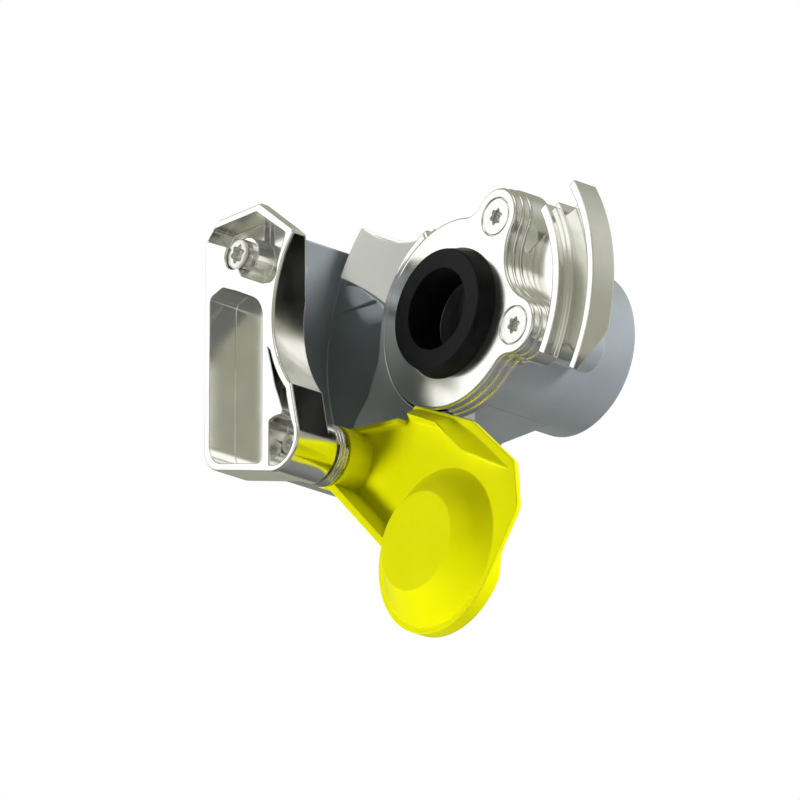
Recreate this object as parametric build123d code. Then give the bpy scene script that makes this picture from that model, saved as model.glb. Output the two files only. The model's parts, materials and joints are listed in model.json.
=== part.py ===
"""Palm-type air brake coupling head of the control line, with its cap swung open.

The origin is the centre of the coupling seal's front face. X runs to the right as seen
from the front, Z runs up, and Y runs back into the head along the seal's axis, so what
stands in front of the seal has a negative Y. All sizes are in millimetres.
"""
from build123d import *
import math
import os

os.makedirs("parts", exist_ok=True)

# Clearances
running_gap = 0.05
screw_gap = 0.20
cast_gap = 0.25

# Coupling seal
seal_face_r = 17.4
seal_root_r = 18.6
seal_bore_r = 11.7
seal_proud = 5.0
seal_flange_w = 2.4
seal_tail_t = 2.0
seal_lip_w = 0.4

# Clamped stack behind the seal: two plates on the guide flange's pad
plate_round_r = 27.6
plate_t = 2.5
pad_t = 2.5
layer_step = 0.35
plate_edge_r = 0.8
upper_screw_x = 18.9
upper_screw_z = 23.3
lower_screw_x = 26.0
lower_screw_z = -11.0
lobe_r = 8.3
lobe_blend_r = 6.0
waist_r = 16.0

# Guide flange: rim, ledge, outer guard, left lug and pivot arm
flange_t = 5.0
rim_r = 44.8
rim_w = 2.6
rim_top = 28.0
rim_bottom = -31.0
ledge_w = 1.8
ledge_drop = 3.5
groove_w = 4.8
guard_t = 2.3
guard_drop = 4.5
guard_top = 30.5
guard_bottom = -32.0
guard_web_t = 3.0
guard_cut_start = -16.0
guard_tip_w = 0.8
boss_wall = 3.4
boss_drop = 1.0
boss_edge_r = 1.3
boss_top = 112.0
boss_bottom = 262.0
lug_r = 51.6
lug_bottom = 161.0
lug_depth = 18.0
lug_fall = 10.0
lug_web_t = 3.0
lug_wall = 2.3
lug_curve = (-22.7, 47.8)
lug_curve_r = 18.0
arm_plate_t = 2.0
foot_start = -97.0
foot_end = -38.0

# Body casting
barrel_r = 23.75
barrel_back = 54.3
barrel_edge = 1.2
screw_boss_r = 6.6
screw_boss_len = 16.0
screw_web_w = 8.0
arm_back = 42.0
arm_bottom = -24.0
arm_wall = 4.0
arm_rib_t = 3.5
arm_rib_z = -7.0
arm_front_wall = 7.0
collar_w = 1.55
neck_inner_r = 54.5
neck_left = -62.0
neck_top = 31.4
neck_bottom = -43.0
neck_corner = 4.5
neck_foot_w = 26.0
neck_hub_gap = 1.0
neck_screw_boss_r = 3.6
pivot_boss_r = 10.0
pivot_boss_depth = 34.0

# Claw
claw_front = -29.7
claw_t = 11.7
claw_hook_r = 35.0
claw_hook_top = 139.5
claw_hook_bottom = 218.5
claw_left = -63.9
claw_top = 35.7
claw_top_x = -40.5
claw_cut = 5.5
claw_bottom_left_z = -37.6
claw_corner_r = 8.0
claw_wall = 4.3
claw_tip_h = 1.3
claw_tip_depth = 4.7
claw_ramp_x = -34.4
claw_slope_front = 3.0
claw_slope_in = 2.4
claw_floor_t = 2.0
claw_boss_r = 9.0
claw_boss_reach = 3.0
claw_edge_r = 0.6
claw_screw_x = -50.8
claw_screw_z = 23.6
claw_screw_boss_r = 5.6
claw_screw_boss_h = 6.0
claw_screw_sink_r = 4.6
claw_step_x = -47.3
claw_step_h = 2.0
recess_depth = 6.9
recess_rim_w = 2.2
recess_wall = 1.7
recess_side = 0.1

# Pivot and cap
pivot_x = -33.3
pivot_z = -37.1
pivot_bolt_r = 2.0
pivot_head_r = 3.1
pivot_head_t = 2.4
pivot_hole_bottom = 4.0
sleeve_r = 4.5
washer_t = 1.0
washer_r = 8.4
hub_r = 9.0
hub_front = -10.0
cap_rim_r = 24.4
cap_top_r = 14.2
cap_cone_r = 22.7
cap_face = -1.8
cap_back = 2.5
cap_rise = 8.2
cap_wall = 2.0
cap_plate_t = 1.5
skirt_start = -203.0
skirt_end = 35.0
skirt_fade = 4.0
cap_open_angle = -44.2
tall_wall_t = 2.2
top_wall_t = 1.5
top_wall_h = 3.2
wing_left = 12.1
wing_foot = 20.5
wing_low = 25.4
wing_high = 33.8
wing_bend = 36.5
wing_corner = 60.5
wing_right = 70.8
wing_shoulder = 25.0
lip_h = 5.0

# Cap spring
spring_mean_r = 6.5
spring_wire_r = 0.75
spring_turns = 2.0
spring_leg = 1.6
spring_leg_gap = 0.3

# Screws
plate_screw_r = 3.0
plate_head_r = 5.7
plate_head_t = 2.3
claw_screw_r = 2.0
claw_head_r = 3.8
claw_head_t = 3.0
claw_screw_len = 12.0
socket_r = 2.8
small_socket_r = 1.8
socket_depth = 1.6
screw_clearance = 2.0

# Shut-off valve
seat_t = 2.6
seat_r = 19.5
valve_bore_r = 16.4
facing_t = 2.0
facing_r = 14.2
poppet_t = 3.0
poppet_rim = 1.0
stem_r = 4.0
chamber_wall = 5.25
chamber_end = 36.0
guide_t = 3.0
guide_hub_r = 6.5
guide_hub_len = 3.0
guide_spoke_angle = 14.0
valve_spring_mean_r = 9.4
valve_spring_wire_r = 0.8
valve_spring_turns = 4.0
stem_reach = 1.5
facing_washer_r = 4.2
facing_washer_t = 0.8
facing_screw_r = 1.5
facing_head_r = 2.8
facing_head_t = 1.6
facing_screw_len = 9.0
o_ring_mean_r = 21.0
o_ring_wire_r = 0.9

# Port for the air hose
port_minor_r = 10.2
port_thread_len = 15.0
port_passage_r = 8.0
port_lead_in = 1.0

# Depths that follow from the sizes above
stack_front = seal_proud
middle_front = stack_front + plate_t
pad_front = middle_front + plate_t
floor_front = pad_front + pad_t
body_front = floor_front + flange_t
boss_front = stack_front + boss_drop
boss_r = plate_round_r + boss_wall
arm_front = boss_front + arm_plate_t
seat_front = pad_front + seal_tail_t
seat_back = seat_front + seat_t
facing_back = seat_back + facing_t
poppet_back = facing_back + poppet_t
guide_front = chamber_end - guide_t
claw_back = claw_front + claw_t
claw_boss_back = claw_back + claw_boss_reach
hub_back = boss_front - washer_t
ledge_r = rim_r + ledge_w
guard_r = ledge_r + groove_w + guard_t
chamber_r = barrel_r - chamber_wall
cap_reach = math.hypot(pivot_x, pivot_z)
cap_closed_angle = math.degrees(math.atan2(-pivot_z, -pivot_x))
lug_back = stack_front + lug_depth


def polar(r, angle):
    """A point at radius r and an angle in degrees from +X towards +Z."""
    return (r * math.cos(math.radians(angle)), r * math.sin(math.radians(angle)))


def at_depth(y):
    """A drawing plane square to the seal's axis, with its x along X and its y along Z."""
    return Plane(origin=(0, y, 0), x_dir=(1, 0, 0), z_dir=(0, -1, 0))


def slab(sketch, front, back):
    """A flat outline in X and Z made solid between two depths."""
    return extrude(at_depth(back) * sketch, amount=back - front)


def disc(x, z, r, front, back):
    """A round rod along Y."""
    return slab(Pos(x, z) * Circle(r), front, back)


def outline(*points):
    """A straight-sided face through the given points."""
    return make_face(Polyline(*points, close=True))


def sector(r_in, r_out, start, end):
    """A piece of a flat ring round the seal's axis between two angles."""
    reach = 2 * r_out
    middle = (start + end) / 2
    wedge = outline((0, 0), polar(reach, start), polar(reach, middle), polar(reach, end))
    ring = Circle(r_out)
    if r_in > 0:
        ring = ring - Circle(r_in)
    return ring & wedge


def turned(*profile):
    """A solid turned about the Y axis from points (radius, depth)."""
    return revolve(make_face(Polyline(*profile, close=True)), axis=Axis.Y)


def round_corners(sketch, radius, *places):
    """The outline with its corners nearest to the given places rounded."""
    for place in places:
        corner = sketch.vertices().sort_by_distance((place[0], place[1], 0))[0]
        sketch = fillet(corner, radius)
    return sketch


def six_lobe_socket(x, z, r, front, depth):
    """The drive recess of a six-lobe screw."""
    shape = Circle(0.72 * r)
    for lobe in range(6):
        place = polar(0.72 * r, 60 * lobe)
        shape = shape + Pos(place[0], place[1]) * Circle(0.28 * r)
    return slab(Pos(x, z) * shape, front, front + depth)


def front_edges(solid):
    """The outer edges of a piece's foremost flat face."""
    return solid.faces().filter_by(Axis.Y).sort_by(Axis.Y)[0].outer_wire().edges()


# Outline shared by the two plates and the pad under them
screw_places = ((upper_screw_x, upper_screw_z), (lower_screw_x, lower_screw_z))


def meeting_circle(first, first_r, second, second_r, side):
    """Where two circles cross, on the left (side 1) or right (side -1) of the line between them."""
    dx = second[0] - first[0]
    dz = second[1] - first[1]
    reach = math.hypot(dx, dz)
    along = (first_r**2 - second_r**2 + reach**2) / (2 * reach)
    across = side * math.sqrt(first_r**2 - along**2)
    return (first[0] + (along * dx - across * dz) / reach, first[1] + (along * dz + across * dx) / reach)


def toward(centre, r, place):
    """The point of a circle that faces a place."""
    dx = place[0] - centre[0]
    dz = place[1] - centre[1]
    reach = math.hypot(dx, dz)
    return (centre[0] + r * dx / reach, centre[1] + r * dz / reach)


def plate_outline(grow):
    """Round part, two screw lobes and the waist between them, grown by an even margin."""
    upper, lower = screw_places
    axis = (0, 0)
    big = plate_round_r + grow
    lobe = lobe_r + grow
    blend = lobe_blend_r - grow
    hollow = waist_r - grow
    upper_blend = meeting_circle(axis, big + blend, upper, lobe + blend, 1)
    lower_blend = meeting_circle(axis, big + blend, lower, lobe + blend, -1)
    waist = meeting_circle(lower, lobe + hollow, upper, lobe + hollow, -1)
    a = toward(axis, big, lower_blend)
    b = toward(axis, big, upper_blend)
    c = toward(upper, lobe, upper_blend)
    d = toward(upper, lobe, waist)
    e = toward(lower, lobe, waist)
    f = toward(lower, lobe, lower_blend)
    edges = [
        ThreePointArc(a, polar(big, 205), b),
        ThreePointArc(b, toward(upper_blend, blend, ((b[0] + c[0]) / 2, (b[1] + c[1]) / 2)), c),
        ThreePointArc(c, toward(upper, -lobe, axis), d),
        ThreePointArc(d, toward(waist, hollow, ((d[0] + e[0]) / 2, (d[1] + e[1]) / 2)), e),
        ThreePointArc(e, toward(lower, -lobe, axis), f),
        ThreePointArc(f, toward(lower_blend, blend, ((f[0] + a[0]) / 2, (f[1] + a[1]) / 2)), a),
    ]
    return make_face(edges)


def screw_holes(r, front, back):
    """Two holes for the plate screws."""
    holes = disc(*screw_places[0], r, front, back)
    return holes + disc(*screw_places[1], r, front, back)


def make_front_plate():
    plate = slab(plate_outline(0), stack_front, middle_front)
    plate = fillet(front_edges(plate), plate_edge_r)
    plate = plate - disc(0, 0, seal_root_r, stack_front, middle_front)
    plate = plate - screw_holes(plate_screw_r + screw_gap, stack_front, middle_front)
    for place in screw_places:
        plate = plate - Pos(place[0], 0, place[1]) * countersink()
    return plate


def countersink():
    """The cone that a plate screw's head fills, about the Y axis."""
    return turned((0, stack_front), (plate_head_r, stack_front), (plate_screw_r, stack_front + plate_head_t),
                  (0, stack_front + plate_head_t))


def make_middle_plate():
    plate = slab(plate_outline(layer_step), middle_front, pad_front)
    plate = fillet(front_edges(plate), plate_edge_r)
    plate = plate - disc(0, 0, seal_root_r + seal_flange_w, middle_front, pad_front)
    return plate - screw_holes(plate_screw_r + screw_gap, middle_front, pad_front)


def make_seal_ring():
    """Conical lip in front, a clamped flange and a tail that rests on the seat."""
    flange_r = seal_root_r + seal_flange_w
    tail_r = seat_r - running_gap
    return turned((seal_bore_r, 0), (seal_face_r - seal_lip_w, 0), (seal_face_r, seal_lip_w / 2),
                  (seal_root_r, stack_front), (seal_root_r, middle_front), (flange_r, middle_front),
                  (flange_r, pad_front), (tail_r, pad_front), (tail_r, seat_front), (seal_bore_r, seat_front))


def make_plate_screw(place):
    """Countersunk screw that holds the stack on the body."""
    end = body_front + screw_boss_len - 3
    screw = turned((0, stack_front), (plate_head_r, stack_front), (plate_screw_r, stack_front + plate_head_t),
                   (plate_screw_r, end - 1), (plate_screw_r - 1, end), (0, end))
    screw = Pos(place[0], 0, place[1]) * screw
    return screw - six_lobe_socket(*place, socket_r, stack_front, socket_depth)


# The arm's upper shoulder, a round edge that the guide's lug stands beside
shoulder_centre = (-69.5, -16.3)
shoulder_r = 46.5
shoulder_end = toward(shoulder_centre, shoulder_r, (-31.7, 10.6))
shoulder_mid = toward(shoulder_centre, shoulder_r, (-40.0, 19.5))
shoulder_start = toward(shoulder_centre, shoulder_r, (-49.4, 25.5))


def neck_edge():
    """The neck's left and lower edges, from its upper left corner round to its foot beside the pivot."""
    low_corner = neck_corner + 1.5
    return ((neck_left + neck_corner, neck_top), (neck_left, neck_top - neck_corner),
            (neck_left, neck_bottom + 2 * low_corner), (neck_left + low_corner, neck_bottom + low_corner),
            (neck_left + 3 * low_corner, neck_bottom), (neck_left + neck_foot_w, neck_bottom + low_corner))


def arm_outline():
    """The body's arm with the neck's foot, as seen from the front."""
    neck_tip = (-math.sqrt(neck_inner_r**2 - neck_top**2), neck_top)
    edge = Polyline(shoulder_start, neck_tip, *neck_edge(), (-19, arm_bottom), (0, arm_bottom), (0, 9),
                    (-23, 9), shoulder_end)
    shoulder = ThreePointArc(shoulder_end, shoulder_mid, shoulder_start)
    return make_face([edge, shoulder])


def neck_outline():
    """The part of the arm's outline that runs forward to the claw."""
    neck_tip = (-math.sqrt(neck_inner_r**2 - neck_top**2), neck_top)
    shape = outline((neck_tip[0] + 2, neck_top), *neck_edge(), (neck_left + neck_foot_w, 0))
    shape = shape - Circle(neck_inner_r)
    return shape - Pos(pivot_x, pivot_z) * Circle(pivot_boss_r + neck_hub_gap)


def make_body():
    """Grey casting: barrel, arm, neck, pivot boss and the bosses of the plate screws."""
    body = disc(0, 0, barrel_r, body_front, barrel_back)
    back_edge = body.faces().sort_by(Axis.Y)[-1].edges()
    body = chamfer(back_edge, barrel_edge)
    arm = slab(arm_outline(), arm_front, arm_back)
    arm = arm - disc(0, 0, boss_r + cast_gap, arm_front, body_front)
    arm = arm - slab(outline((-24, -60), (40, -60), (40, 30), (-24, 30)), arm_front, body_front)
    body = body + arm
    body = body + disc(pivot_x, pivot_z, pivot_boss_r, arm_front, pivot_boss_depth)
    body = body + slab(neck_outline(), claw_back, arm_front)
    screw_end = claw_back + claw_screw_len
    body = body + disc(claw_screw_x, claw_screw_z, neck_screw_boss_r, claw_back, screw_end)
    body = body + slab(sector(barrel_r - collar_w, barrel_r, foot_start, foot_end), floor_front, body_front)
    for place in screw_places:
        body = body + disc(*place, screw_boss_r, body_front, body_front + screw_boss_len)
        reach = math.hypot(*place)
        web = Pos(reach / 2, 0) * Rectangle(reach, screw_web_w)
        web = Rot(0, 0, math.degrees(math.atan2(place[1], place[0]))) * web
        body = body + slab(web, body_front, body_front + screw_boss_len - 3)
    body = body - arm_pockets()
    body = body - shoulder_groove()
    body = body - disc(0, 0, chamber_r, body_front, chamber_end)
    body = body - disc(0, 0, port_passage_r, chamber_end, barrel_back)
    body = body - disc(0, 0, port_minor_r, barrel_back - port_thread_len, barrel_back)
    body = body - turned((0, barrel_back), (port_minor_r + port_lead_in, barrel_back),
                         (port_minor_r, barrel_back - port_lead_in), (0, barrel_back - port_lead_in))
    body = body - o_ring_groove()
    body = body - screw_holes(plate_screw_r, body_front, body_front + screw_boss_len - 2)
    body = body - disc(pivot_x, pivot_z, pivot_bolt_r, arm_front, pivot_boss_depth - pivot_hole_bottom)
    return body - disc(claw_screw_x, claw_screw_z, claw_screw_r, claw_back, screw_end - 1)


def arm_pockets():
    """Two cored pockets in the arm's back, with a rib between them."""
    floor_y = arm_front + arm_front_wall
    left = neck_left + arm_wall + 1
    right = -barrel_r - arm_wall
    rib_top = arm_rib_z + arm_rib_t / 2
    rib_bottom = arm_rib_z - arm_rib_t / 2
    upper = outline((left, rib_top), (right, rib_top), (right, 4), (-44, 16), (left, 19))
    lower = outline((left, rib_bottom), (right, rib_bottom), (right, -20), (-44, -25), (left, -31))
    pockets = slab(fillet(upper.vertices(), 2.5), floor_y, arm_back)
    pockets = pockets + slab(fillet(lower.vertices(), 2.5), floor_y, arm_back)
    return pockets - disc(0, 0, boss_r + arm_wall, floor_y, body_front + arm_wall)


def shoulder_groove():
    """The shallow wedge across the arm's front, deepest at its right end."""
    wedge = outline((-55, arm_front), (-31, arm_front), (-31, arm_front + 1.8))
    return Pos(0, 0, 7.5) * extrude(wedge, amount=7.5)


def o_ring_groove():
    inner = o_ring_mean_r - o_ring_wire_r - running_gap
    outer = o_ring_mean_r + o_ring_wire_r + running_gap
    return slab(Circle(outer) - Circle(inner), body_front, body_front + 2 * o_ring_wire_r)


def make_flange_o_ring():
    ring = Torus(o_ring_mean_r, o_ring_wire_r)
    return Pos(0, body_front + o_ring_wire_r, 0) * Rot(90, 0, 0) * ring


def outer_guard():
    """The guard with the web that carries it; the back corner of its lower end is cut away."""
    inner = guard_r - guard_t
    front = stack_front + guard_drop
    guard = slab(sector(inner, guard_r, guard_bottom, guard_top), front, body_front)
    web = sector(ledge_r - 1, inner + 1, guard_bottom, rim_top)
    guard = guard + slab(web, body_front - guard_web_t, body_front)
    cut_top = polar(guard_r, guard_cut_start)[1]
    cut_low = polar(guard_r, guard_bottom)[1] - 1
    corner = outline((body_front + 1, cut_top), (body_front + 1, cut_low), (front + guard_tip_w, cut_low))
    return guard - extrude(Plane.YZ * corner, amount=2 * guard_r)


def make_guide_flange():
    """Bright casting: pad, floor, rim, ledge, channel, guard, left boss, lug and pivot arm."""
    flange = slab(plate_outline(2 * layer_step), pad_front, floor_front)
    flange = fillet(front_edges(flange), plate_edge_r)
    flange = flange + slab(plate_outline(2 * layer_step), floor_front, body_front)
    flange = flange + slab(sector(0, rim_r, rim_bottom, rim_top), floor_front, body_front)
    flange = flange + slab(sector(rim_r - rim_w, rim_r, rim_bottom, rim_top), stack_front, body_front)
    flange = flange + slab(sector(rim_r - 1, ledge_r, rim_bottom, rim_top), stack_front + ledge_drop, body_front)
    flange = flange + outer_guard()
    flange = flange + left_boss() + left_lug()
    foot = sector(barrel_r - collar_w - cast_gap, boss_r + 1, foot_start, foot_end)
    flange = flange - slab(foot, floor_front, body_front)
    nest = slab(plate_outline(layer_step + cast_gap), stack_front, pad_front)
    flange = flange - nest
    flange = flange - disc(0, 0, seat_r + running_gap, stack_front, seat_back)
    flange = flange - disc(0, 0, valve_bore_r, stack_front, lug_back)
    flange = flange - screw_holes(plate_screw_r + screw_gap, stack_front, body_front)
    return flange - disc(pivot_x, pivot_z, pivot_bolt_r + screw_gap, boss_front, arm_front)


def left_boss():
    """Round wall that nests the plates on the left, with a thin arm down to the pivot."""
    wall = sector(0, boss_r, boss_top, (boss_top + boss_bottom) / 2)
    wall = wall + sector(0, boss_r, (boss_top + boss_bottom) / 2, boss_bottom)
    arm = outline((-20, 2), (-boss_r, 2), (-31.8, -5), (-36.1, -14.5), (-41.5, -20.5), (-43.4, -27),
                  (pivot_x - pivot_boss_r, pivot_z), (pivot_x + pivot_boss_r, pivot_z - 1), (-12, -28), (-6, -20))
    arm = arm + Pos(pivot_x, pivot_z) * Circle(pivot_boss_r)
    boss = slab(wall + arm, boss_front, arm_front)
    boss = fillet(front_edges(boss), boss_edge_r)
    return boss + slab(wall, arm_front, body_front)


def left_lug():
    """Lug on the upper left: a web that falls from its outer edge to the boss, with a wall behind that edge."""
    root_r = boss_r - 1
    root = stack_front + lug_fall
    web = ((root_r, root), (lug_r, stack_front), (lug_r, lug_back), (lug_r - lug_wall, lug_back),
           (lug_r - lug_wall, stack_front + lug_web_t), (root_r, root + lug_web_t))
    lug = turned(*web) & slab(sector(0, 2 * lug_r, boss_top + 3, lug_bottom), 0, lug_back)
    lug = lug - disc(*lug_curve, lug_curve_r, 0, lug_back)
    return lug - disc(*shoulder_centre, shoulder_r + cast_gap, 0, lug_back)


def tangent_point(place, centre, r, side):
    """Where a line from a place touches a circle, on its left (side 1) or its right (side -1)."""
    dx = place[0] - centre[0]
    dz = place[1] - centre[1]
    toward = math.degrees(math.atan2(dz, dx))
    swing = math.degrees(math.acos(r / math.hypot(dx, dz)))
    x, z = polar(r, toward + side * swing)
    return (centre[0] + x, centre[1] + z)


def claw_tip():
    """The sharp upper right corner of the claw, above the end of its hook."""
    high = polar(claw_hook_r, claw_hook_top)
    return (high[0], high[1] + claw_tip_h)


def claw_outline():
    """The claw's front, hooked round a circle about the seal's axis."""
    pivot = (pivot_x, pivot_z)
    hook_high = polar(claw_hook_r, claw_hook_top)
    hook_low = polar(claw_hook_r, claw_hook_bottom)
    hook_mid = polar(claw_hook_r, (claw_hook_top + claw_hook_bottom) / 2)
    bottom_left = (claw_left, claw_bottom_left_z)
    boss_high = tangent_point(hook_low, pivot, claw_boss_r, -1)
    boss_low = tangent_point(bottom_left, pivot, claw_boss_r, 1)
    boss_turn = polar(claw_boss_r, -40)
    boss_mid = (pivot_x + boss_turn[0], pivot_z + boss_turn[1])
    cut_low = (claw_left, claw_top - claw_cut)
    cut_high = (claw_left + claw_cut, claw_top)
    left = Polyline(boss_low, bottom_left, cut_low, cut_high, (claw_top_x, claw_top), claw_tip(), hook_high)
    hook = ThreePointArc(hook_high, hook_mid, hook_low)
    side = Line(hook_low, boss_high)
    boss = ThreePointArc(boss_high, boss_mid, boss_low)
    shape = make_face([left, hook, side, boss])
    shape = round_corners(shape, 2.5, cut_low, cut_high)
    shape = round_corners(shape, claw_corner_r, bottom_left)
    return round_corners(shape, 0.6, claw_tip(), hook_high)


def make_claw():
    """Bright casting with two pockets, a screw boss, a bolt recess and a pivot boss behind."""
    claw = slab(claw_outline(), claw_front, claw_back)
    claw = fillet(front_edges(claw), claw_edge_r)
    claw = claw - claw_slope() - claw_ramp()
    pocket_floor = claw_back - claw_floor_t
    boss_top_y = pocket_floor - claw_screw_boss_h
    upper = upper_pocket()
    claw = claw - slab(upper, claw_front, pocket_floor)
    step = upper & Pos(claw_step_x - 10, claw_screw_z + 5) * Rectangle(20, 20)
    claw = claw + slab(step, pocket_floor - claw_step_h, pocket_floor)
    claw = claw + disc(claw_screw_x, claw_screw_z, claw_screw_boss_r, boss_top_y, pocket_floor)
    claw = claw - disc(claw_screw_x, claw_screw_z, claw_screw_sink_r, claw_front, boss_top_y)
    claw = claw - slab(lower_pocket(), claw_front, pocket_floor)
    claw = claw - bolt_recess()
    claw = claw + disc(pivot_x, pivot_z, claw_boss_r, claw_back, claw_boss_back)
    claw = claw - disc(pivot_x, pivot_z, pivot_bolt_r + screw_gap, claw_front, claw_boss_back)
    claw = claw - disc(claw_screw_x, claw_screw_z, claw_screw_r + screw_gap, boss_top_y, claw_back)
    leg_hole_r = spring_wire_r + screw_gap
    leg_hole_z = pivot_z + spring_mean_r
    spring_hole = disc(pivot_x, leg_hole_z, leg_hole_r, claw_boss_back - spring_leg, claw_boss_back)
    return claw - spring_hole


def upper_pocket():
    """Open pocket round the claw screw; the land on its lower left reaches in to the screw."""
    hook_side = -claw_hook_r + 1.2
    shape = outline((-62.5, 30.6), (-60, 33.6), (-42, 33.6), (-29.7, 23.8), (hook_side + 0.6, 15.5),
                    (hook_side, 10.2), (hook_side - 5.5, 11.3), (-48.2, 16.0), (-54.0, 26.3))
    shape = round_corners(shape, 3.0, (hook_side, 10.2))
    shape = round_corners(shape, 2.0, (-60, 33.6))
    return round_corners(shape, 1.0, (-42, 33.6), (-29.7, 23.8), (-48.2, 16.0))


def lower_pocket():
    """Long pocket with wide round corners at its upper right and its lower left."""
    right = -claw_hook_r - claw_wall
    left = claw_left + 2.4
    shape = outline((left, 13.2), (-56.1, 14.9), (-49.9, 12.0), (right, 6.2), (right, -42.3), (left, -36.2))
    shape = round_corners(shape, claw_corner_r, (right, 6.2))
    shape = round_corners(shape, claw_corner_r - 1, (left, -36.2))
    return round_corners(shape, 1.8, (left, 13.2), (-56.1, 14.9), (right, -42.3))


def claw_ramp():
    """What is cut from behind the hook's upper end, so that its tip is thin."""
    tip_x = claw_tip()[0]
    slope = (claw_t - claw_tip_depth) / (tip_x - claw_ramp_x)
    start_x = claw_ramp_x - 1 / slope
    end_x = tip_x + 4
    end_y = claw_back - slope * (end_x - claw_ramp_x)
    ramp = outline((start_x, claw_back + 1), (end_x, claw_back + 1), (end_x, end_y))
    return Pos(0, 0, 8) * extrude(ramp, amount=40)


def claw_slope():
    """What is cut from behind the claw's slanting upper right side."""
    tip = claw_tip()
    dx = claw_top_x - tip[0]
    dz = claw_top - tip[1]
    length = math.hypot(dx, dz)
    back = claw_t - claw_slope_front
    wedge = outline((1, 0), (0, 0), (-claw_slope_in * (back + 1) / back, back + 1), (1, back + 1))
    frame = Plane(origin=(tip[0], claw_front + claw_slope_front, tip[1]), x_dir=(dz / length, 0, -dx / length),
                  z_dir=(dx / length, 0, dz / length))
    return extrude(frame * Pos(0, 0, -4) * wedge, amount=length + 10)


def bolt_recess():
    """Recess for the pivot bolt's head, flat on its left, running out upwards beside the hook's rim."""
    tail = outline((-37.3, -8), (-34.1, -20.5), (-30.8, -28.9), (-34.1, -35.1), (-26.6, -34.6), (-27.9, -30.3),
                   (-29.1, -24.9), (-30, -17))
    tail = tail - Circle(claw_hook_r + recess_rim_w)
    wide = claw_boss_r - recess_wall
    side = pivot_head_r + recess_side
    shape = Circle(wide) & Pos((wide - side) / 2, 0) * Rectangle(wide + side, 2 * wide)
    return slab(Pos(pivot_x, pivot_z) * shape + tail, claw_front, claw_front + recess_depth)


def make_claw_screw():
    """Pan-head screw that holds the claw on the body's neck."""
    seat = claw_back - claw_floor_t - claw_screw_boss_h
    top = seat - claw_head_t
    end = claw_back + claw_screw_len - screw_clearance
    screw = turned((0, top), (claw_head_r - 0.5, top), (claw_head_r, top + 0.5), (claw_head_r, seat),
                   (claw_screw_r, seat), (claw_screw_r, end - 1), (claw_screw_r - 0.8, end), (0, end))
    screw = Pos(claw_screw_x, 0, claw_screw_z) * screw
    return screw - six_lobe_socket(claw_screw_x, claw_screw_z, socket_r, top, socket_depth)


def make_pivot_bolt():
    """Bolt through the claw's boss, the sleeve and the guide's arm into the body."""
    seat = claw_front + recess_depth
    top = seat - pivot_head_t
    end = pivot_boss_depth - pivot_hole_bottom - 1
    bolt = turned((0, top), (pivot_head_r - 0.4, top), (pivot_head_r, top + 0.4), (pivot_head_r, seat),
                  (pivot_bolt_r, seat), (pivot_bolt_r, end - 1), (pivot_bolt_r - 0.8, end), (0, end))
    bolt = Pos(pivot_x, 0, pivot_z) * bolt
    return bolt - six_lobe_socket(pivot_x, pivot_z, small_socket_r, top, socket_depth)


def make_pivot_sleeve():
    """Sleeve clamped between the claw's boss and the guide's arm; the cap turns on it."""
    sleeve = Circle(sleeve_r) - Circle(pivot_bolt_r + running_gap)
    return slab(Pos(pivot_x, pivot_z) * sleeve, claw_boss_back, boss_front)


def make_thrust_washer():
    ring = Circle(washer_r) - Circle(sleeve_r + running_gap)
    return slab(Pos(pivot_x, pivot_z) * ring, hub_back, boss_front)


def make_cover_spring():
    """Spring that presses the hub back: a leg in the claw's boss, two turns and a leg in the hub's groove."""
    start = claw_boss_back + spring_wire_r
    end = hub_front - spring_wire_r
    height = end - start
    coil = Helix(pitch=height / spring_turns, height=height, radius=spring_mean_r)
    wire = sweep(Plane(origin=coil @ 0, z_dir=coil % 0) * Circle(spring_wire_r), path=coil)
    wire = Rot(-90, 0, 0) * wire
    wire = Pos(0, start, 0) * wire
    turn = Rot(0, -90, 0)
    wire = turn * wire
    front_leg = disc(0, spring_mean_r, spring_wire_r, claw_boss_back - spring_leg, start)
    back_leg = disc(0, spring_mean_r, spring_wire_r, end, hub_front + spring_leg)
    return Pos(pivot_x, 0, pivot_z) * (wire + front_leg + back_leg)


def make_cover():
    """Moulded cap, drawn with its hub at the origin and its disc along +X, then swung open."""
    reach = cap_reach
    plate_back = cap_face + cap_plate_t
    cap = slab(cap_web(), cap_face, plate_back)
    cap = cap + disc(reach, 0, cap_rim_r, cap_face, plate_back)
    cap = cap + disc(0, 0, hub_r, hub_front, hub_back)
    dome = turned((0, cap_face), (cap_cone_r, cap_face), (cap_top_r, cap_face - cap_rise), (0, cap_face - cap_rise))
    cap = cap + Pos(reach, 0, 0) * dome
    cap = cap + cap_walls()
    cap = cap + finger_lip()
    cap = cap + Pos(reach, 0, 0) * cap_skirt()
    hollow = turned((0, plate_back), (cap_cone_r - cap_wall, plate_back), (cap_cone_r - cap_wall, cap_face),
                    (cap_top_r - cap_wall + 0.6, cap_face - cap_rise + cap_wall), (0, cap_face - cap_rise + cap_wall))
    cap = cap - Pos(reach, 0, 0) * hollow
    cap = cap - disc(0, 0, sleeve_r + running_gap, hub_front, hub_back)
    cap = cap - spring_groove()
    return Pos(pivot_x, 0, pivot_z) * Rot(0, -cap_open_angle, 0) * cap


def tall_wall_ends():
    """Where the tall wall's outer line leaves the hub and where it meets the dome's top."""
    hub_end = polar(hub_r, -50)
    rise = math.radians(144)
    dome_end = (cap_reach + cap_top_r * math.cos(rise), -cap_top_r * math.sin(rise))
    return hub_end, dome_end


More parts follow.
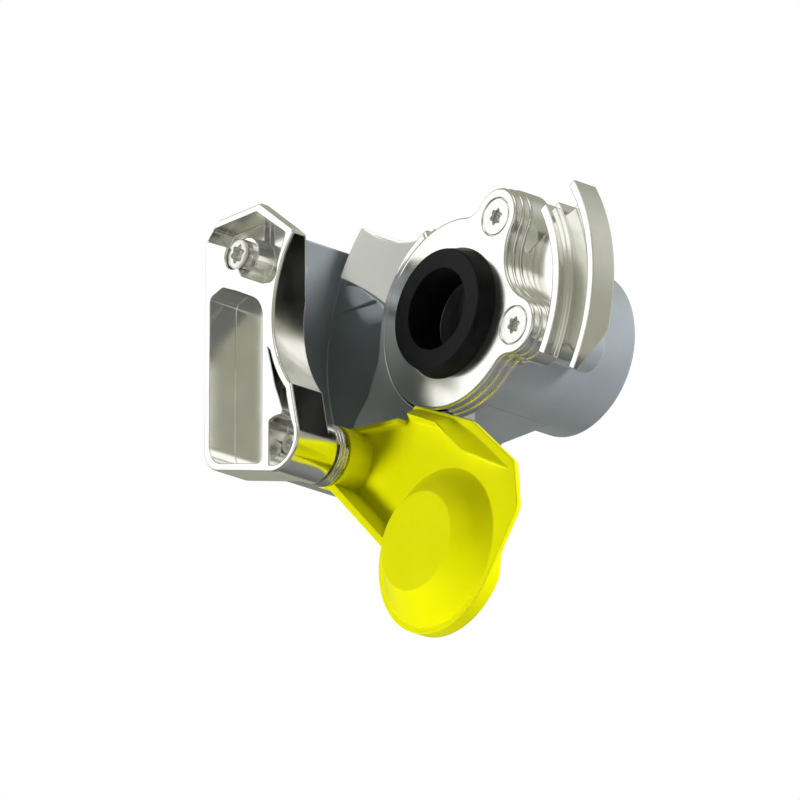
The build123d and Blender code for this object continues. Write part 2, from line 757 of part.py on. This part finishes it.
def cap_web():
    """The flat plate between the hub, the disc and the finger wing."""
    hub_end, dome_end = tall_wall_ends()
    share = (cap_reach - cap_rim_r - hub_end[0]) / (dome_end[0] - hub_end[0])
    rim_end = (cap_reach - cap_rim_r + 1, hub_end[1] + share * (dome_end[1] - hub_end[1]))
    high = tangent_point((wing_left, wing_foot), (0, 0), hub_r, 1)
    web = outline((0, 0), hub_end, rim_end, (cap_reach, 0), polar_from(cap_reach, cap_rim_r, 12),
                  (wing_right, wing_shoulder), (wing_corner, wing_high), (wing_bend, wing_high),
                  (wing_left, wing_low), (wing_left, wing_foot), high)
    web = round_corners(web, 10, (wing_bend, wing_high))
    return round_corners(web, 4, (wing_corner, wing_high), (wing_right, wing_shoulder))


def polar_from(x, r, angle):
    """A point on a circle whose centre lies at x on the first axis."""
    place = polar(r, angle)
    return (x + place[0], place[1])


def cap_walls():
    """The tall wall from the hub to the dome and the low wall along the web's upper edge."""
    hub_end, dome_end = tall_wall_ends()
    tall = outline(hub_end, dome_end, (dome_end[0] + 1, dome_end[1] + tall_wall_t),
                   (hub_end[0] - 1, hub_end[1] + tall_wall_t))
    walls = slab(tall, hub_front, cap_face)
    end = (wing_left, wing_foot)
    start = tangent_point(end, (0, 0), hub_r, 1)
    length = math.hypot(end[0] - start[0], end[1] - start[1])
    inward = (top_wall_t * (end[1] - start[1]) / length, -top_wall_t * (end[0] - start[0]) / length)
    low = outline(start, end, (end[0] + inward[0], end[1] + inward[1]), (start[0] + inward[0], start[1] + inward[1]))
    return walls + slab(low, cap_face - top_wall_h, cap_face)


def spring_groove():
    """Curved groove in the hub for the spring's leg; its ends stop the cap open and shut."""
    room = spring_wire_r + spring_leg_gap
    margin = math.degrees(math.asin(room / spring_mean_r))
    groove = sector(spring_mean_r - room, spring_mean_r + room, 90 - cap_closed_angle - margin,
                    90 - cap_open_angle + margin)
    return slab(groove, hub_front, hub_front + spring_leg + spring_leg_gap)


def cap_skirt():
    """Rim behind the cap's disc, left open on the side that leads over the seal when it closes."""
    middle = (skirt_start + skirt_end) / 2
    skirt = sector(cap_rim_r - cap_wall, cap_rim_r, skirt_start, middle)
    skirt = skirt + sector(cap_rim_r - cap_wall, cap_rim_r, middle, skirt_end)
    plate_back = cap_face + cap_plate_t
    fade = outline((cap_back, skirt_fade), (plate_back, polar(cap_rim_r, skirt_end)[1]),
                   (plate_back, cap_rim_r), (cap_back + 1, cap_rim_r), (cap_back + 1, skirt_fade))
    skirt = slab(skirt, cap_face + cap_plate_t / 2, cap_back)
    return skirt - extrude(Plane.YZ * fade, amount=2 * cap_rim_r)


def finger_lip():
    """Ridge for the finger along the cap's outer edge, sloping down to that edge and fading out to the right."""
    back = cap_face + cap_plate_t
    top = cap_face - lip_h
    climb = (wing_high - wing_low) / (wing_bend - wing_left)
    sections = (
        ((wing_left, wing_low), (wing_left + 4.4, top, wing_low - 1.4), (wing_left, wing_foot)),
        ((28.0, wing_low + climb * (28.0 - wing_left)), (29.0, top, 27.8), (29.4, 26.6)),
        ((wing_bend + 4, wing_high), (wing_bend + 5, top + 1.8, 26.5), (wing_bend + 5.2, 25.4)),
        ((wing_corner - 2, wing_high), (wing_corner, cap_face, 31.1), (wing_corner + 0.2, 30.2)),
    )
    faces = []
    for foot, ridge, inner in sections:
        faces.append(make_face(Polyline((foot[0], back, foot[1]), (ridge[0], ridge[1], ridge[2]),
                                        (inner[0], back, inner[1]), close=True)))
    return loft(faces, ruled=True)


def make_seat_ring():
    ring = Circle(seat_r) - Circle(seal_bore_r)
    return slab(ring, seat_front, seat_back)


def make_valve_facing():
    ring = Circle(facing_r) - Circle(facing_screw_r)
    return slab(ring, seat_back, facing_back)


def make_facing_washer():
    ring = Circle(facing_washer_r) - Circle(facing_screw_r)
    return slab(ring, seat_back - facing_washer_t, seat_back)


def make_facing_screw():
    seat = seat_back - facing_washer_t
    top = seat - facing_head_t
    end = seat + facing_screw_len
    screw = turned((0, top), (facing_head_r - 0.6, top), (facing_head_r, top + 0.6), (facing_head_r, seat),
                   (facing_screw_r, seat), (facing_screw_r, end), (0, end))
    slot = slab(Rectangle(2 * facing_head_r, 0.7), top, top + 0.7)
    return screw - slot


def make_valve_poppet():
    """Cup for the rubber facing on a guide stem."""
    rim = facing_r + poppet_rim
    poppet = turned((0, facing_back), (facing_r, facing_back), (facing_r, facing_back - facing_t / 2),
                    (rim, facing_back - facing_t / 2), (rim, poppet_back), (stem_r, poppet_back),
                    (stem_r, chamber_end + stem_reach), (0, chamber_end + stem_reach))
    end = seat_back - facing_washer_t + facing_screw_len
    return poppet - disc(0, 0, facing_screw_r, facing_back, end)


def make_valve_guide():
    """Spoked guide seated on the chamber's shoulder."""
    plate = Circle(chamber_r - running_gap)
    for arm in range(3):
        start = 120 * arm + guide_spoke_angle
        plate = plate - sector(guide_hub_r + 1.5, chamber_r - 2.5, start, start + 120 - 2 * guide_spoke_angle)
    guide = slab(plate, guide_front, chamber_end)
    guide = guide + disc(0, 0, guide_hub_r, guide_front - guide_hub_len, guide_front)
    return guide - disc(0, 0, stem_r + running_gap, guide_front - guide_hub_len, chamber_end)


def make_valve_spring():
    """Compression spring between the poppet and the guide."""
    start = poppet_back + valve_spring_wire_r
    end = guide_front - valve_spring_wire_r
    height = end - start
    coil = Helix(pitch=height / valve_spring_turns, height=height, radius=valve_spring_mean_r)
    wire = sweep(Plane(origin=coil @ 0, z_dir=coil % 0) * Circle(valve_spring_wire_r), path=coil)
    return Pos(0, start, 0) * Rot(-90, 0, 0) * wire


parts = {
    "body": make_body(),
    "guide_flange": make_guide_flange(),
    "middle_plate": make_middle_plate(),
    "front_plate": make_front_plate(),
    "seal_ring": make_seal_ring(),
    "plate_screw_upper": make_plate_screw(screw_places[0]),
    "plate_screw_lower": make_plate_screw(screw_places[1]),
    "claw": make_claw(),
    "claw_screw": make_claw_screw(),
    "pivot_bolt": make_pivot_bolt(),
    "pivot_sleeve": make_pivot_sleeve(),
    "thrust_washer": make_thrust_washer(),
    "cover_spring": make_cover_spring(),
    "cover": make_cover(),
    "seat_ring": make_seat_ring(),
    "valve_facing": make_valve_facing(),
    "facing_washer": make_facing_washer(),
    "facing_screw": make_facing_screw(),
    "valve_poppet": make_valve_poppet(),
    "valve_guide": make_valve_guide(),
    "valve_spring": make_valve_spring(),
    "flange_o_ring": make_flange_o_ring(),
}

for name, solid in parts.items():
    export_step(solid, "parts/" + name + ".step")
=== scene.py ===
"""Looks, light and camera for the air brake coupling head.

Lengths are in metres; the screws, the lens and the sensor are in millimetres.
"""
import json
import math

import bpy
from mathutils import Matrix, Vector


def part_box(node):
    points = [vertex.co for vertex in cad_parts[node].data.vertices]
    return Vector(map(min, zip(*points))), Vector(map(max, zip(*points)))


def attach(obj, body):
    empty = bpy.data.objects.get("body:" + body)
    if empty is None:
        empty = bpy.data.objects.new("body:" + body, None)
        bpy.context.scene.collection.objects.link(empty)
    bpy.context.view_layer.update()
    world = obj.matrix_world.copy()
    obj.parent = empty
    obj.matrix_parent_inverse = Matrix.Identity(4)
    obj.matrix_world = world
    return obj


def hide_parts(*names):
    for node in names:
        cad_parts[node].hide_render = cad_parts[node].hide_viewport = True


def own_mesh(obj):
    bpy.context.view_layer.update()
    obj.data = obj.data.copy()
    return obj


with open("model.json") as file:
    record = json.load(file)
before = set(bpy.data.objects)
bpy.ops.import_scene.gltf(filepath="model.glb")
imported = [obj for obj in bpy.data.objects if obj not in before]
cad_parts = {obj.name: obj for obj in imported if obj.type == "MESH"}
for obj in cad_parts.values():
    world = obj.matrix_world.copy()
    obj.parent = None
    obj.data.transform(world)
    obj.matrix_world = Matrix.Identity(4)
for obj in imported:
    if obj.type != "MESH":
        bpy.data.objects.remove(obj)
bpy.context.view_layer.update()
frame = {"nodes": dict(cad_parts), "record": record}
nodes = frame["nodes"]
scene = bpy.context.scene

# Camera, fitted to the seal, the rims and the pivot in the photo
CAMERA_RIGHT = Vector((0.669, 0.743, 0.0)).normalized()
CAMERA_BACK = Vector((0.694, -0.625, -0.358)).normalized()
CAMERA_UP = CAMERA_BACK.cross(CAMERA_RIGHT).normalized()
CAMERA_DISTANCE = 3.7
CAMERA_LENS = 600.0
SENSOR_WIDTH = 36.0
CLIP_NEAR = 0.01
CLIP_FAR = 20.0
CENTRE_RIGHT = -0.0099
CENTRE_UP = -0.0253

# Middles of the studio's patches, as ways from the object
UP_WAY = (0.0, 0.0, 1.0)
BACK_WAY = (0.25, 0.90, 0.30)
FRONT_WAY = (0.30, -0.90, -0.32)
BEHIND_WAY = (-0.69, 0.63, 0.36)
TOP_WAY = (0.36, -0.54, 0.74)
SCREEN_WAY = (-0.80, -0.50, 0.33)

# Left lug of the guide flange: where the painted reflection on its face starts, and where its lamp aims
LUG_RIGHT = -0.008
LUG_BOTTOM = 0.008
LUG_INNER_R = 0.0310
LUG_SIDE_FADE = 0.002
LUG_INNER_FADE = 0.0008
LUG_CENTRE = Vector((-0.029, 0.006, 0.027))
LUG_LAMP_PLACE = (0.30, -0.95, 0.45)
LUG_LAMP_DEGREES = 1.8

# Cosines between the rounded and the flat normal where an edge starts to wear and where it is worn
EDGE_START = 0.995
EDGE_WORN = 0.86

# Six-lobe screws, in millimetres; faces, seats and ends are depths along Y
SCREW_STEPS = 72
LOBE_MEAN = 0.86
LOBE_SWING = 0.14
SHARP_DEGREES = 35
PAN_FACE = -29.0
PAN_SEAT = -26.0
PAN_END = -8.0
PAN_R = 4.5
PAN_SHANK_R = 2.0
FLAT_FACE = 5.1
FLAT_END = 30.5
FLAT_R = 5.35
FLAT_SHANK_R = 3.0

# Springs
COIL_STEPS_A_TURN = 50
COIL_SIDES = 12
CLAW_BOSS_BACK = -0.0150
HUB_FRONT = -0.0100
COVER_COIL_R = 0.0083
COVER_COIL_TURNS = 3
COVER_WIRE_R = 0.00068
COVER_COIL_GAP = 0.0001
VALVE_COIL_TURNS = 4
VALVE_WIRE_R = 0.0008

# Floor
FLOOR_HALF = 3.0
FLOOR_LEVEL = -1.6


def make_camera():
    data = bpy.data.cameras.new("camera")
    data.type = "PERSP"
    data.lens = CAMERA_LENS
    data.sensor_width = SENSOR_WIDTH
    data.clip_start = CLIP_NEAR
    data.clip_end = CLIP_FAR
    camera = bpy.data.objects.new("camera", data)
    scene.collection.objects.link(camera)
    target = CAMERA_RIGHT * CENTRE_RIGHT + CAMERA_UP * CENTRE_UP
    turn = Matrix((CAMERA_RIGHT, CAMERA_UP, CAMERA_BACK)).transposed().to_4x4()
    camera.matrix_world = Matrix.Translation(target + CAMERA_BACK * CAMERA_DISTANCE) @ turn
    scene.camera = camera


class Shader:
    """A node material under construction."""

    def __init__(self, name):
        self.material = bpy.data.materials.new(name)
        self.material.use_nodes = True
        self.tree = self.material.node_tree
        self.surface = self.tree.nodes["Principled BSDF"]
        self.place = self.add("ShaderNodeTexCoord").outputs["Object"]

    def add(self, kind, **values):
        node = self.tree.nodes.new(kind)
        for key, value in values.items():
            setattr(node, key, value)
        return node

    def link(self, source, target):
        self.tree.links.new(source, target)

    def noise(self, scale, detail=3.0, stretch=None):
        """Noise whose grain is given in cells per metre."""
        node = self.add("ShaderNodeTexNoise")
        node.inputs["Scale"].default_value = scale
        node.inputs["Detail"].default_value = detail
        if stretch is None:
            self.link(self.place, node.inputs["Vector"])
        else:
            mapping = self.add("ShaderNodeMapping")
            mapping.inputs["Scale"].default_value = stretch
            self.link(self.place, mapping.inputs["Vector"])
            self.link(mapping.outputs["Vector"], node.inputs["Vector"])
        return node.outputs["Fac"]

    def spread(self, value, low, high, out_low=0.0, out_high=1.0):
        """Maps the range low to high onto out_low to out_high, with its ends held."""
        node = self.add("ShaderNodeMapRange")
        node.inputs["From Min"].default_value = low
        node.inputs["From Max"].default_value = high
        node.inputs["To Min"].default_value = out_low
        node.inputs["To Max"].default_value = out_high
        self.link(value, node.inputs["Value"])
        return node.outputs["Result"]

    def mix(self, factor, first, second):
        node = self.add("ShaderNodeMix", data_type="RGBA")
        self.link(factor, node.inputs["Factor"])
        for socket, value in ((node.inputs["A"], first), (node.inputs["B"], second)):
            if isinstance(value, tuple):
                socket.default_value = (*value, 1.0)
            else:
                self.link(value, socket)
        return node.outputs["Result"]

    def combine(self, operation, first, second):
        node = self.add("ShaderNodeMath", operation=operation)
        self.link(first, node.inputs[0])
        self.link(second, node.inputs[1])
        return node.outputs["Value"]

    def edges(self, radius):
        """How sharp an outer edge is, from a rounded normal set against the flat one."""
        rounded = self.add("ShaderNodeBevel", samples=6)
        rounded.inputs["Radius"].default_value = radius
        flat = self.add("ShaderNodeNewGeometry")
        dot = self.add("ShaderNodeVectorMath", operation="DOT_PRODUCT")
        self.link(rounded.outputs["Normal"], dot.inputs[0])
        self.link(flat.outputs["Normal"], dot.inputs[1])
        return self.spread(dot.outputs["Value"], EDGE_START, EDGE_WORN)

    def relief(self, height, strength, distance, round_edges=0.0):
        bump = self.add("ShaderNodeBump")
        bump.inputs["Strength"].default_value = strength
        bump.inputs["Distance"].default_value = distance
        self.link(height, bump.inputs["Height"])
        if round_edges > 0:
            rounded = self.add("ShaderNodeBevel", samples=8)
            rounded.inputs["Radius"].default_value = round_edges
            self.link(rounded.outputs["Normal"], bump.inputs["Normal"])
        self.link(bump.outputs["Normal"], self.surface.inputs["Normal"])

    def assign(self, name, value):
        """Sets a socket of the surface to a number, or links it to what a node gives."""
        if isinstance(value, float):
            self.surface.inputs[name].default_value = value
        else:
            self.link(value, self.surface.inputs[name])

    def colour(self, value):
        if isinstance(value, tuple):
            self.surface.inputs["Base Color"].default_value = (*value, 1.0)
        else:
            self.assign("Base Color", value)

    def roughness(self, value):
        self.assign("Roughness", value)

    def metallic(self, value):
        self.assign("Metallic", value)

    def specular(self, level):
        self.surface.inputs["Specular IOR Level"].default_value = level


def cast_grey():
    """Painted die casting: fine grain, cloudy tone and lighter worn edges."""
    s = Shader("cast_grey")
    cloud = s.spread(s.noise(90.0, 4.0), 0.35, 0.65)
    base = s.mix(cloud, (0.34, 0.375, 0.41), (0.375, 0.41, 0.445))
    wear = s.edges(0.0007)
    s.colour(s.mix(wear, base, (0.46, 0.49, 0.52)))
    grain = s.noise(1500.0, 2.0)
    s.roughness(s.spread(grain, 0.3, 0.7, 0.28, 0.36))
    s.relief(grain, strength=0.08, distance=0.0001, round_edges=0.0007)
    s.metallic(0.30)
    return s.material


def plating(s):
    """Colour and roughness of polished plating with soft smears, over a slight waviness."""
    smear = s.noise(140.0, 4.0)
    s.relief(s.noise(260.0, 2.0), strength=0.015, distance=0.0002, round_edges=0.0006)
    colour = s.mix(s.spread(smear, 0.35, 0.7), (0.94, 0.94, 0.91), (0.88, 0.88, 0.84))
    return colour, s.spread(smear, 0.3, 0.7, 0.13, 0.20)


def bright_metal():
    """Polished plated casting, near to a mirror."""
    s = Shader("bright_metal")
    colour, roughness = plating(s)
    s.colour(colour)
    s.roughness(roughness)
    s.metallic(1.0)
    return s.material


def guide_metal():
    """The same plated casting; the face of its left lug is made paler and duller than the mirror plating, a
    painted reflection.
    """
    s = Shader("guide_metal")
    axes = s.add("ShaderNodeSeparateXYZ")
    s.link(s.place, axes.inputs["Vector"])
    flat = s.add("ShaderNodeVectorMath", operation="MULTIPLY")
    s.link(s.place, flat.inputs[0])
    flat.inputs[1].default_value = (1.0, 0.0, 1.0)
    reach = s.add("ShaderNodeVectorMath", operation="LENGTH")
    s.link(flat.outputs["Vector"], reach.inputs[0])
    left = s.spread(axes.outputs["X"], LUG_RIGHT, LUG_RIGHT - LUG_SIDE_FADE)
    above = s.spread(axes.outputs["Z"], LUG_BOTTOM, LUG_BOTTOM + LUG_SIDE_FADE)
    outside = s.spread(reach.outputs["Value"], LUG_INNER_R, LUG_INNER_R + LUG_INNER_FADE)
    # Painted reflection: on the lug's face the plating turns pale and dull, in place of the bright reflection
    # it shows
    lug = s.combine("MULTIPLY", s.combine("MULTIPLY", left, above), outside)
    colour, roughness = plating(s)
    s.colour(s.mix(lug, colour, (0.90, 0.90, 0.84)))
    s.roughness(s.combine("ADD", roughness, s.spread(lug, 0.0, 1.0, 0.0, 0.30)))
    s.metallic(s.spread(lug, 0.0, 1.0, 1.0, 0.30))
    return s.material


def seal_rubber():
    s = Shader("seal_rubber")
    bloom = s.noise(300.0, 4.0)
    s.colour(s.mix(s.spread(bloom, 0.4, 0.7), (0.006, 0.006, 0.007), (0.011, 0.011, 0.012)))
    s.roughness(s.spread(bloom, 0.3, 0.7, 0.36, 0.50))
    s.specular(0.12)
    s.relief(s.noise(2500.0, 2.0), strength=0.15, distance=0.00005, round_edges=0.0005)
    return s.material


def facing_rubber():
    s = Shader("facing_rubber")
    bloom = s.noise(500.0)
    s.colour(s.mix(bloom, (0.030, 0.030, 0.030), (0.050, 0.050, 0.050)))
    s.roughness(0.6)
    s.relief(s.noise(2500.0, 2.0), strength=0.2, distance=0.00005)
    return s.material


def screw_steel(name="screw_steel", smoothest=0.14, roughest=0.24):
    """Zinc-plated steel with turning marks."""
    s = Shader(name)
    smear = s.noise(400.0)
    s.colour(s.mix(smear, (0.88, 0.88, 0.86), (0.78, 0.78, 0.75)))
    s.roughness(s.spread(smear, 0.3, 0.7, smoothest, roughest))
    s.relief(s.noise(1800.0, 2.0, (1.0, 6.0, 1.0)), strength=0.10, distance=0.00005, round_edges=0.0002)
    s.metallic(1.0)
    return s.material


def spring_steel():
    s = Shader("spring_steel")
    smear = s.noise(900.0)
    s.colour(s.mix(smear, (0.80, 0.79, 0.75), (0.66, 0.65, 0.61)))
    s.roughness(s.spread(smear, 0.3, 0.7, 0.18, 0.32))
    s.relief(smear, strength=0.08, distance=0.00005)
    s.metallic(1.0)
    return s.material


def yellow_plastic():
    """Moulded plastic with a fine eroded texture and slightly paler edges."""
    s = Shader("yellow_plastic")
    cloud = s.spread(s.noise(70.0), 0.35, 0.65)
    base = s.mix(cloud, (0.83, 0.83, 0.001), (0.87, 0.87, 0.002))
    s.colour(s.mix(s.edges(0.0006), base, (0.95, 0.95, 0.02)))
    grain = s.noise(2200.0, 2.0)
    s.roughness(s.spread(grain, 0.3, 0.7, 0.34, 0.46))
    s.relief(grain, strength=0.12, distance=0.00005, round_edges=0.0007)
    s.specular(0.08)
    return s.material


def valve_brass():
    s = Shader("valve_brass")
    smear = s.noise(500.0)
    s.colour(s.mix(smear, (0.72, 0.52, 0.24), (0.60, 0.42, 0.18)))
    s.roughness(s.spread(smear, 0.3, 0.7, 0.22, 0.36))
    s.relief(s.noise(1800.0, 2.0, (1.0, 6.0, 1.0)), strength=0.10, distance=0.00005)
    s.metallic(1.0)
    return s.material


def guide_plastic():
    s = Shader("guide_plastic")
    s.colour(s.mix(s.noise(400.0), (0.05, 0.05, 0.05), (0.08, 0.08, 0.08)))
    s.roughness(0.55)
    s.relief(s.noise(2000.0, 2.0), strength=0.2, distance=0.00005)
    return s.material


def dress_nodes():
    """Gives each CAD piece the material of its slot in the record, and the guide flange its own."""
    makers = (cast_grey, bright_metal, seal_rubber, facing_rubber, screw_steel, spring_steel, yellow_plastic,
              valve_brass, guide_plastic)
    made = {maker.__name__: maker() for maker in makers}
    for part in frame["record"]["subparts"]:
        mesh = nodes[part["node"]].data
        mesh.materials.clear()
        mesh.materials.append(made[part["material_slot"]])
    guide = nodes["guide_flange"].data.materials
    guide.clear()
    guide.append(guide_metal())


def middle(node):
    """The X and Z of the middle of a CAD piece's box."""
    low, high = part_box(node)
    return (low[0] + high[0]) / 2, (low[2] + high[2]) / 2


def new_piece(name, node, points, faces):
    """A mesh that wears the material of the CAD piece it stands for."""
    mesh = bpy.data.meshes.new(name)
    mesh.from_pydata(points, [], faces)
    mesh.materials.append(nodes[node].data.materials[0])
    piece = bpy.data.objects.new(name, mesh)
    scene.collection.objects.link(piece)
    return piece


def lobed(radius, angle):
    """How far a six-lobe recess reaches at an angle."""
    return radius * (LOBE_MEAN + LOBE_SWING * math.cos(6 * angle))


def screw(name, node, floor, socket, outside, tip):
    """A turned screw with a six-lobe socket; its rings are (radius, depth) pairs in millimetres."""
    x, z = middle(node)
    points = [(x, floor / 1000, z)]
    for rings, is_lobed in ((socket, True), (outside, False)):
        for radius, y in rings:
            for step in range(SCREW_STEPS):
                angle = 2 * math.pi * step / SCREW_STEPS
                r = lobed(radius, angle) if is_lobed else radius
                points.append((x + r * math.cos(angle) / 1000, y / 1000, z + r * math.sin(angle) / 1000))
    points.append((x, tip / 1000, z))
    bands = len(socket) + len(outside) - 1
    last = 1 + bands * SCREW_STEPS
    faces = []
    for step in range(SCREW_STEPS):
        after = (step + 1) % SCREW_STEPS
        faces.append((0, 1 + step, 1 + after))
        faces.append((last + after, last + step, len(points) - 1))
        for band in range(bands):
            a = 1 + band * SCREW_STEPS + step
            b = 1 + band * SCREW_STEPS + after
            faces.append((a, a + SCREW_STEPS, b + SCREW_STEPS, b))
    piece = new_piece(name, node, points, faces)
    for polygon in piece.data.polygons:
        polygon.use_smooth = True
    piece.data.set_sharp_from_angle(angle=math.radians(SHARP_DEGREES))
    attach(piece, "head")
    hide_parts(node)
    return piece


def make_screws():
    """Pan head in the claw and two countersunk heads whose rims stand a hair inside their seats."""
    socket = ((2.3, PAN_FACE + 2.1), (2.6, PAN_FACE + 0.3), (2.9, PAN_FACE))
    head = ((3.9, PAN_FACE), (PAN_R - 0.15, PAN_FACE + 0.2), (PAN_R, PAN_FACE + 0.7), (PAN_R, PAN_SEAT))
    shank = ((PAN_SHANK_R, PAN_SEAT), (PAN_SHANK_R, PAN_END - 1.0), (PAN_SHANK_R - 0.8, PAN_END))
    pan = screw("claw_screw_head", "claw_screw", PAN_FACE + 3.4, socket, head + shank, PAN_END)
    pan.data.materials[0] = screw_steel("satin_steel", smoothest=0.26, roughest=0.32)
    socket = ((2.0, FLAT_FACE + 2.5), (2.3, FLAT_FACE + 0.4), (2.5, FLAT_FACE + 0.05))
    head = ((FLAT_R - 0.25, FLAT_FACE), (FLAT_R, FLAT_FACE + 0.2))
    shank = ((FLAT_SHANK_R, FLAT_FACE + 2.3), (FLAT_SHANK_R, FLAT_END - 1.0), (FLAT_SHANK_R - 1.0, FLAT_END))
    for side in ("upper", "lower"):
        screw("plate_screw_%s_head" % side, "plate_screw_" + side, FLAT_FACE + 3.8, socket, head + shank,
              FLAT_END)


def coil(name, node, centre, radius, wire, start, end, turns):
    """A round wire wound about a line along Y through centre (x, z), between two depths."""
    steps = COIL_STEPS_A_TURN * turns
    points = []
    for step in range(steps + 1):
        turn = 2 * math.pi * turns * step / steps
        out = Vector((math.cos(turn), 0.0, math.sin(turn)))
        ring = out * radius + Vector((centre[0], start + (end - start) * step / steps, centre[1]))
        for side in range(COIL_SIDES):
            angle = 2 * math.pi * side / COIL_SIDES
            points.append(ring + wire * (out * math.cos(angle) + Vector((0.0, math.sin(angle), 0.0))))
    faces = []
    for step in range(steps):
        for side in range(COIL_SIDES):
            a = step * COIL_SIDES + side
            b = step * COIL_SIDES + (side + 1) % COIL_SIDES
            faces.append((a, b, b + COIL_SIDES, a + COIL_SIDES))
    faces.append(tuple(reversed(range(COIL_SIDES))))
    faces.append(tuple(range(steps * COIL_SIDES, (steps + 1) * COIL_SIDES)))
    piece = new_piece(name, node, points, faces)
    for polygon in piece.data.polygons:
        polygon.use_smooth = len(polygon.vertices) == 4
    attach(piece, "head")
    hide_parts(node)
    return piece


def make_springs():
    """The cap's spring fills the gap between claw and hub; the valve's spans the length of the valve spring's
    box.
    """
    inset = COVER_WIRE_R + COVER_COIL_GAP
    coil("cover_spring_coil", "cover_spring", middle("pivot_sleeve"), COVER_COIL_R, COVER_WIRE_R,
         CLAW_BOSS_BACK + inset, HUB_FRONT - inset, COVER_COIL_TURNS)
    low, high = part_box("valve_spring")
    radius = (high[0] - low[0]) / 2 - VALVE_WIRE_R
    spring = coil("valve_spring_coil", "valve_spring", (0.0, 0.0), radius, VALVE_WIRE_R,
                  low[1] + VALVE_WIRE_R, high[1] - VALVE_WIRE_R, VALVE_COIL_TURNS)
    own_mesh(spring)


def make_world():
    """White behind the object; metal mirrors its own olive studio with pale, bright and dark patches."""
    world = bpy.data.worlds.new("studio")
    scene.world = world
    world.use_nodes = True
    tree = world.node_tree
    tree.nodes.clear()

    def add(kind, **values):
        node = tree.nodes.new(kind)
        for key, value in values.items():
            setattr(node, key, value)
        return node

    def background(colour, strength=1.0):
        node = add("ShaderNodeBackground")
        node.inputs["Color"].default_value = (*colour, 1.0)
        node.inputs["Strength"].default_value = strength
        return node.outputs["Background"]

    def choose(factor, first, second):
        node = add("ShaderNodeMixShader")
        tree.links.new(factor, node.inputs["Fac"])
        tree.links.new(first, node.inputs[1])
        tree.links.new(second, node.inputs[2])
        return node.outputs["Shader"]

    def patch(around, inside, way, edge, full):
        """Lays inside over around, from nothing at the cosine edge to whole at the cosine full."""
        dot = add("ShaderNodeVectorMath", operation="DOT_PRODUCT")
        tree.links.new(direction, dot.inputs[0])
        dot.inputs[1].default_value = Vector(way).normalized()
        ramp = add("ShaderNodeMapRange", interpolation_type="SMOOTHSTEP")
        ramp.inputs["From Min"].default_value = edge
        ramp.inputs["From Max"].default_value = full
        tree.links.new(dot.outputs["Value"], ramp.inputs["Value"])
        return choose(ramp.outputs["Result"], around, inside)

    direction = add("ShaderNodeTexCoord").outputs["Generated"]
    path = add("ShaderNodeLightPath")
    dark = background((0.10, 0.10, 0.09))
    olive = background((0.36, 0.365, 0.295))
    warm_grey = background((0.75, 0.75, 0.70))
    pale_grey = background((0.72, 0.72, 0.69))
    screen = background((1.0, 1.0, 0.99), strength=1.25)
    plain = background((1.0, 1.0, 1.0))
    soft = background((0.95, 0.97, 1.0), strength=0.08)
    studio = patch(dark, olive, UP_WAY, edge=-0.75, full=-0.30)
    studio = patch(studio, warm_grey, BACK_WAY, edge=0.80, full=0.97)
    studio = patch(studio, pale_grey, FRONT_WAY, edge=0.80, full=0.95)
    studio = patch(studio, dark, BEHIND_WAY, edge=0.96, full=0.985)
    studio = patch(studio, screen, TOP_WAY, edge=0.93, full=0.975)
    studio = patch(studio, screen, SCREEN_WAY, edge=0.885, full=0.945)
    seen = choose(path.outputs["Is Glossy Ray"], soft, studio)
    seen = choose(path.outputs["Is Transmission Ray"], seen, plain)
    seen = choose(path.outputs["Is Camera Ray"], seen, plain)
    output = add("ShaderNodeOutputWorld")
    tree.links.new(seen, output.inputs["Surface"])


def add_lamp(data, place, target):
    """Hangs a lamp that no mirror shows at a place, turned to a target."""
    lamp = bpy.data.objects.new(data.name, data)
    scene.collection.objects.link(lamp)
    lamp.location = place
    lamp.rotation_euler = (target - Vector(place)).to_track_quat("-Z", "Y").to_euler()
    lamp.visible_glossy = False


def area_light(name, place, side, power):
    data = bpy.data.lights.new(name, "AREA")
    data.shape = "RECTANGLE"
    data.size = side
    data.size_y = side
    data.energy = power
    add_lamp(data, place, Vector((0.0, 0.0, 0.0)))


def lug_spot(power):
    """Narrow beam over the seal onto the face of the left lug; it also lights a patch of the body."""
    data = bpy.data.lights.new("lug_spot", "SPOT")
    data.energy = power
    data.spot_size = math.radians(LUG_LAMP_DEGREES)
    data.spot_blend = 0.5
    add_lamp(data, LUG_LAMP_PLACE, LUG_CENTRE)


def make_lights():
    """Soft lamps to the left, to the right, below and above; mirrors see only the world."""
    lug_spot(power=31.0)
    area_light("key_light", (-0.52, -1.02, -0.30), side=0.4, power=11.0)
    area_light("side_light", (1.0, 0.45, 0.35), side=0.4, power=15.0)
    area_light("low_light", (0.45, -0.10, -1.1), side=0.7, power=7.0)
    area_light("top_light", (0.35, 0.15, 1.1), side=0.6, power=4.0)


def make_floor():
    """Floor of pale paint, out of the camera's sight; so little light reaches it that it looks dark."""
    corners = [(x * FLOOR_HALF, y * FLOOR_HALF, FLOOR_LEVEL) for x, y in ((-1, -1), (1, -1), (1, 1), (-1, 1))]
    mesh = bpy.data.meshes.new("floor")
    mesh.from_pydata(corners, [], [(0, 1, 2, 3)])
    floor = bpy.data.objects.new("floor", mesh)
    scene.collection.objects.link(floor)
    s = Shader("floor_paint")
    s.colour((0.80, 0.80, 0.80))
    s.roughness(0.8)
    mesh.materials.append(s.material)


scene.view_settings.view_transform = "Standard"
make_camera()
dress_nodes()
make_screws()
make_springs()
make_world()
make_lights()
make_floor()
